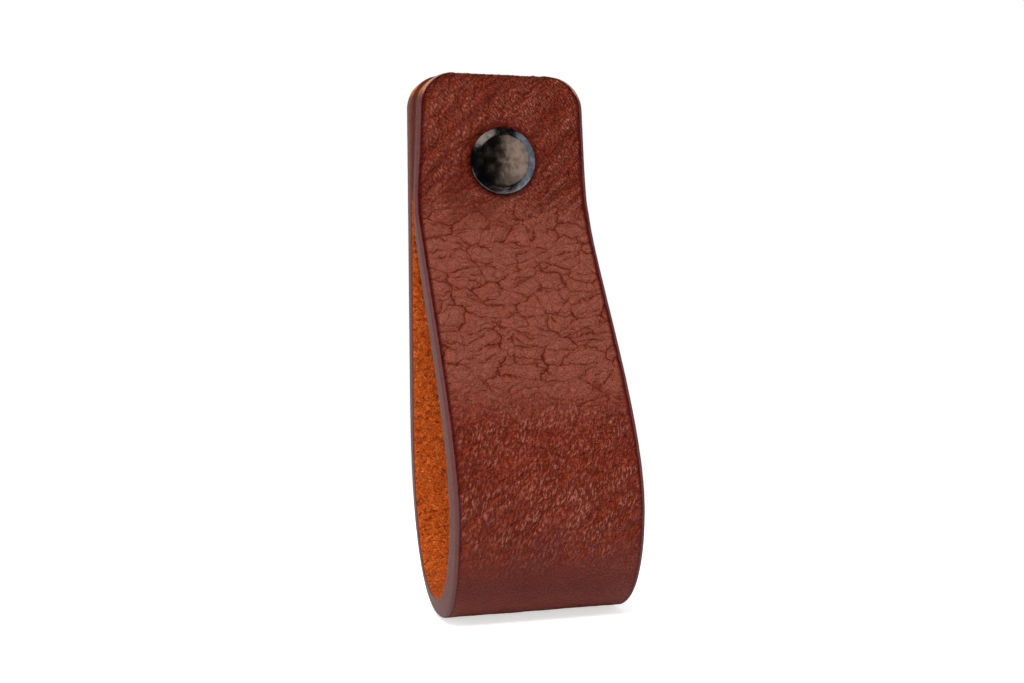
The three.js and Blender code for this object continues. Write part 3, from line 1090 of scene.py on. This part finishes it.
def cut_recess(piece, head_top):
    """Cross recess, tapering to its floor."""
    arm, reach = RECESS_ARM_mm, RECESS_REACH_mm
    cross, quarter = [], [(arm, arm), (arm, reach), (-arm, reach)]
    for _ in range(4):
        cross += quarter
        quarter = [(-z, x) for x, z in quarter]
    top_share = 1 + (1 - RECESS_FLOOR_SHARE) * CUTTER_ABOVE_mm / RECESS_DEPTH_mm
    points = []
    floor, top = head_top - RECESS_DEPTH_mm, head_top + CUTTER_ABOVE_mm
    for share, y in ((RECESS_FLOOR_SHARE, floor), (top_share, top)):
        points += [(x * share * MM, y * MM, z * share * MM) for x, z in cross]
    count = len(cross)
    faces = [tuple(range(count)), tuple(range(2 * count - 1, count - 1, -1))]
    for k in range(count):
        n = (k + 1) % count
        faces.append((k, n, n + count, k + count)[::-1])
    cutter = add_object("recess_cutter", new_mesh("recess_cutter", points, faces))
    outward(cutter)
    modifier = piece.modifiers.new("recess", "BOOLEAN")
    modifier.operation = "DIFFERENCE"
    modifier.solver = "EXACT"
    modifier.object = cutter
    bpy.context.view_layer.update()
    apply_modifiers(piece)
    bpy.data.objects.remove(cutter)


def finish_metal(piece, material, node):
    piece.data.materials.clear()
    piece.data.materials.append(material)
    smooth_to(piece, 35)
    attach(piece, "root")
    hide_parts(node)


# Studio

CAMERA_DISTANCE_mm = 180.68
CAMERA_AZIMUTH = math.radians(15.319)
CAMERA_HEIGHT_mm = -20.26
CAMERA_YAW = math.radians(16.146)
CAMERA_PITCH = math.radians(-1.628)
CAMERA_ROLL = math.radians(-0.46)
FOCAL_PIXELS = 1251.6
PICTURE_WIDTH_PIXELS = 1024
SENSOR_mm = 36


def make_camera():
    data = bpy.data.cameras.new("camera")
    data.sensor_width = SENSOR_mm
    data.lens = FOCAL_PIXELS * SENSOR_mm / PICTURE_WIDTH_PIXELS
    data.clip_start = 0.01
    data.clip_end = 20
    camera = add_object("camera", data)
    level = math.cos(CAMERA_PITCH)
    forward = Vector((level * math.sin(CAMERA_YAW), level * math.cos(CAMERA_YAW), math.sin(CAMERA_PITCH)))
    right = Vector((math.cos(CAMERA_YAW), -math.sin(CAMERA_YAW), 0))
    up = right.cross(forward)
    rolled_right = right * math.cos(CAMERA_ROLL) + up * math.sin(CAMERA_ROLL)
    rolled_up = up * math.cos(CAMERA_ROLL) - right * math.sin(CAMERA_ROLL)
    rotation = Matrix((rolled_right, rolled_up, -forward)).transposed()
    place = Vector((-math.sin(CAMERA_AZIMUTH), -math.cos(CAMERA_AZIMUTH), 0)) * CAMERA_DISTANCE_mm * MM
    place.z = CAMERA_HEIGHT_mm * MM
    camera.matrix_world = Matrix.Translation(place) @ rotation.to_4x4()
    bpy.context.scene.camera = camera


ROOM_TINT = (0.95, 0.97, 1, 1)
ROOM_LIGHT = 0.3
WHITE = (1, 1, 1, 1)
LAMP_TARGET = (0, -0.01, -0.02)


def area_lamp(name, place, size, power, colour=(1, 1, 1)):
    """A lamp that faces the pull and that metal doesn't mirror."""
    data = bpy.data.lights.new(name, "AREA")
    data.shape = "RECTANGLE"
    data.size, data.size_y = size
    data.energy = power
    data.color = colour
    lamp = add_object(name, data)
    lamp.location = place
    lamp.rotation_euler = (Vector(LAMP_TARGET) - Vector(place)).to_track_quat("-Z", "Y").to_euler()
    lamp.visible_glossy = False


def make_world():
    """Plain dim light on the object, and white where the room is seen or mirrored."""
    world = bpy.data.worlds.new("world")
    bpy.context.scene.world = world
    world.use_nodes = True
    world.node_tree.nodes.clear()
    nodes = Nodes(world.node_tree)
    path = nodes.add("ShaderNodeLightPath").outputs
    mirrored = nodes.most(path["Is Glossy Ray"], path["Is Transmission Ray"])
    seen = nodes.most(path["Is Camera Ray"], mirrored)
    room = nodes.add("ShaderNodeBackground", {"Color": ROOM_TINT, "Strength": ROOM_LIGHT})
    white = nodes.add("ShaderNodeBackground", {"Color": WHITE, "Strength": 1})
    mixed = nodes.add("ShaderNodeMixShader", {0: seen, 1: room.outputs[0], 2: white.outputs[0]})
    nodes.add("ShaderNodeOutputWorld", {"Surface": mixed.outputs[0]})


FLOOR_GAP_mm = 0.3
FLOOR_HALF_mm = 260
FLOOR_FADES = (0.045, 0.11)
FLOOR_PAINT = (0.85, 0.85, 0.85, 1)
FLOOR_GLOW = 0.6


def make_floor():
    """White table just under the loop, which fades into the white room before its rim.
    It is clear from below, so that the underside of the loop shows there."""
    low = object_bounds()[0]
    half, z = FLOOR_HALF_mm * MM, low[2] - FLOOR_GAP_mm * MM
    corners = [(-half, -half, z), (half, -half, z), (half, half, z), (-half, half, z)]
    mesh = new_mesh("floor", corners, [(0, 1, 2, 3)])
    floor = add_object("floor", mesh)
    material, nodes = empty_material("floor")
    path = nodes.add("ShaderNodeLightPath").outputs
    paint = nodes.add("ShaderNodeBsdfDiffuse", {"Color": FLOOR_PAINT})
    glow = nodes.add("ShaderNodeEmission", {"Color": WHITE, "Strength": FLOOR_GLOW})
    both = nodes.add("ShaderNodeAddShader", {0: paint.outputs[0], 1: glow.outputs[0]})
    paints = {0: path["Is Camera Ray"], 1: paint.outputs[0], 2: both.outputs[0]}
    shown = nodes.add("ShaderNodeMixShader", paints)
    x, y, _ = nodes.split(nodes.add("ShaderNodeTexCoord").outputs["Object"])
    underneath = nodes.add("ShaderNodeNewGeometry").outputs["Backfacing"]
    hidden = nodes.most(nodes.ramp(nodes.distance(x, y), *FLOOR_FADES), underneath)
    clearness = nodes.times(hidden, path["Is Camera Ray"])
    clear = nodes.add("ShaderNodeBsdfTransparent")
    faded = nodes.add("ShaderNodeMixShader", {0: clearness, 1: shown.outputs[0], 2: clear.outputs[0]})
    nodes.add("ShaderNodeOutputMaterial", {"Surface": faded.outputs[0]})
    mesh.materials.append(material)


# Surround that the metal mirrors, in degrees: azimuth 0 looks to -Y, and + is to +X.
# A patch has the middle and the half span of its azimuth and of its elevation.
SURROUND_RADIUS_mm = 700
SURROUND_SIDE = 150
SURROUND_LOWEST = -14
SURROUND_HIGHEST = 88
SURROUND_COLUMNS = 24
SURROUND_ROWS = 16
SURROUND_SOFTNESS = 7
SURROUND_DARK = (0.012, 0.012, 0.013, 1)
PALE_CEILING = {"azimuth": (-24, 26), "elevation": (48, 16), "shade": (0.9, 0.84, 0.78, 1)}
WARM_WALL = {"azimuth": (29, 12), "elevation": (8, 18), "shade": (1, 0.76, 0.62, 1)}
BLUE_WALL = {"azimuth": (72, 26), "elevation": (4, 42), "shade": (0.52, 0.6, 0.78, 1)}

# Dark card low in front, over the white floor
CARD_HEIGHT_mm = -54
CARD_HALF_WIDTH_mm = 450
CARD_NEAR_mm = -46
CARD_FAR_mm = -660


def make_surround():
    """Dark front half of the studio with its pale and blue walls, which only reflections show."""
    radius = SURROUND_RADIUS_mm * MM
    points, faces = [], []
    for i in range(SURROUND_ROWS + 1):
        share = i / SURROUND_ROWS
        elevation = math.radians(SURROUND_LOWEST + (SURROUND_HIGHEST - SURROUND_LOWEST) * share)
        level = math.cos(elevation) * radius
        for j in range(SURROUND_COLUMNS + 1):
            azimuth = math.radians(SURROUND_SIDE * (2 * j / SURROUND_COLUMNS - 1))
            x, y = level * math.sin(azimuth), -level * math.cos(azimuth)
            points.append((x, y, math.sin(elevation) * radius))
    for i in range(SURROUND_ROWS):
        for j in range(SURROUND_COLUMNS):
            a = i * (SURROUND_COLUMNS + 1) + j
            faces.append((a, a + 1, a + SURROUND_COLUMNS + 2, a + SURROUND_COLUMNS + 1))
    start = len(points)
    for side, y in ((-1, CARD_NEAR_mm), (1, CARD_NEAR_mm), (1, CARD_FAR_mm), (-1, CARD_FAR_mm)):
        points.append((side * CARD_HALF_WIDTH_mm * MM, y * MM, CARD_HEIGHT_mm * MM))
    faces.append((start, start + 1, start + 2, start + 3))
    mesh = new_mesh("surround", points, faces)
    piece = add_object("surround", mesh)
    for ray in ("camera", "diffuse", "shadow", "transmission"):
        setattr(piece, "visible_" + ray, False)
    mesh.materials.append(surround_paint())


def soft_band(nodes, angle, middle, half):
    """1 within half of a middle, both in degrees, with soft ends. The angle itself is in radians."""
    soft = SURROUND_SOFTNESS / 2
    edges = (-half - soft, soft - half, half - soft, half + soft)
    return nodes.window(angle, *(math.radians(middle + edge) for edge in edges))


def surround_paint():
    material, nodes = empty_material("surround")
    x, y, z = nodes.split(nodes.add("ShaderNodeTexCoord").outputs["Object"])
    azimuth = nodes.math("ARCTAN2", x, nodes.times(y, -1))
    elevation = nodes.math("ARCTAN2", z, nodes.distance(x, y))
    colour = SURROUND_DARK
    for patch in (PALE_CEILING, WARM_WALL, BLUE_WALL):
        across = soft_band(nodes, azimuth, *patch["azimuth"])
        upward = soft_band(nodes, elevation, *patch["elevation"])
        colour = nodes.mix(nodes.times(across, upward), colour, patch["shade"])
    glow = nodes.add("ShaderNodeEmission", {"Color": colour, "Strength": 1})
    nodes.add("ShaderNodeOutputMaterial", {"Surface": glow.outputs[0]})
    return material


def make_lamps():
    area_lamp("key", (-0.16, -0.32, 0.46), size=(0.25, 0.2), power=3.7)
    area_lamp("front", (-0.12, -0.6, 0.05), size=(0.4, 0.4), power=0.9)
    area_lamp("side", (0.55, -0.25, 0.12), size=(0.25, 0.45), power=0.8, colour=(0.95, 0.97, 1))
    area_lamp("left", (-0.6, -0.1, 0.1), size=(0.3, 0.45), power=1.7)
    area_lamp("rear", (0.1, 0.5, 0.35), size=(0.5, 0.4), power=1.5)


make_camera()
make_strap()
make_nut()
make_screw()
make_world()
make_floor()
make_surround()
make_lamps()
bpy.context.scene.view_settings.view_transform = "Standard"
